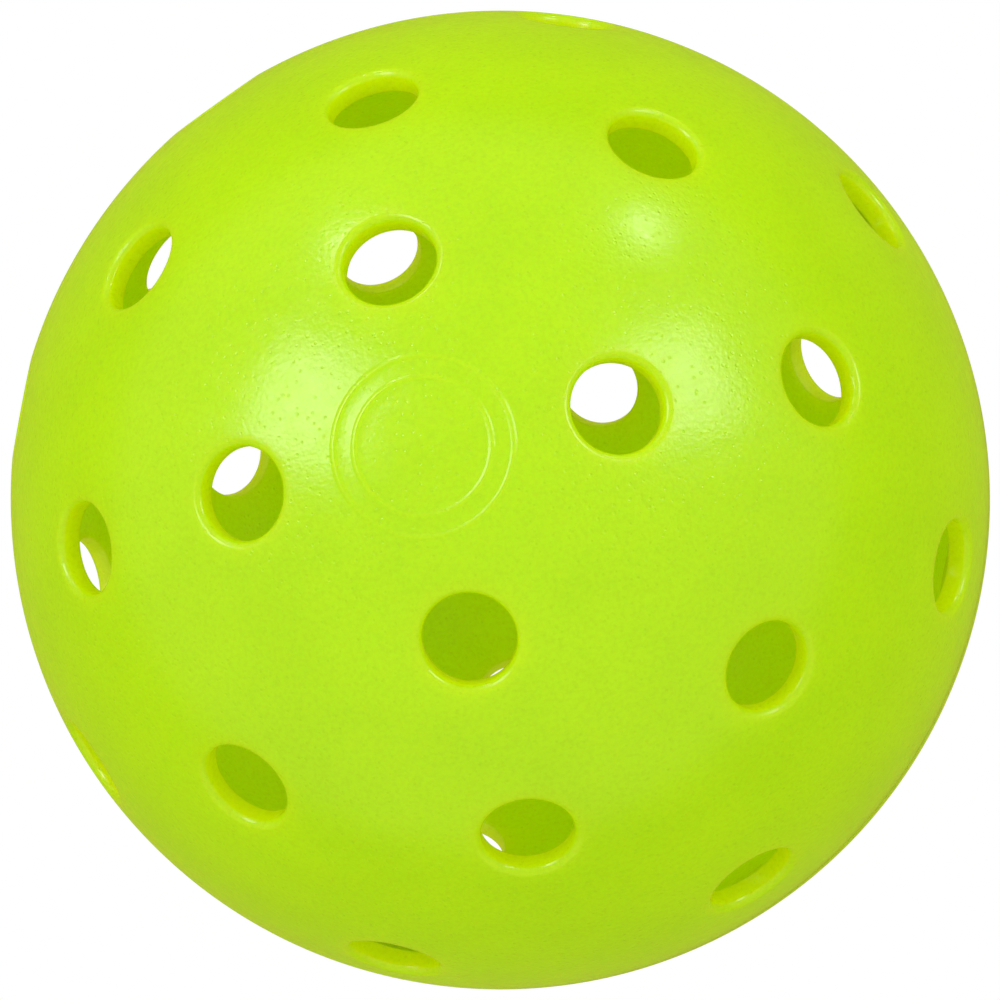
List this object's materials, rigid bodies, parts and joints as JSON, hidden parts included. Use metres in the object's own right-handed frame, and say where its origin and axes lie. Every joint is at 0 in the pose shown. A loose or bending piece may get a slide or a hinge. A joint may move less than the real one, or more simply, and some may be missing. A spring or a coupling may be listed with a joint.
{
  "type": "pickleball ball",
  "caption": "Hollow perforated plastic ball for pickleball: identical moulded half shells, welded rim to rim, with rings of round holes about each pole.",
  "frame": {"origin": "centre of the ball", "axes": "+Z is the polar axis, through the middle of the upper half shell, square to the plane of the seam; +X runs under one of the holes nearest the upper pole"},
  "size_m": [0.074, 0.074, 0.074],
  "materials": {
    "shell_plastic": "satin",
    "weld_plastic": "satin"
  },
  "bodies": {
    "root": {"upper_half_shell": "shell_plastic", "lower_half_shell": "shell_plastic", "weld_bead": "weld_plastic"}
  },
  "joints": []
}
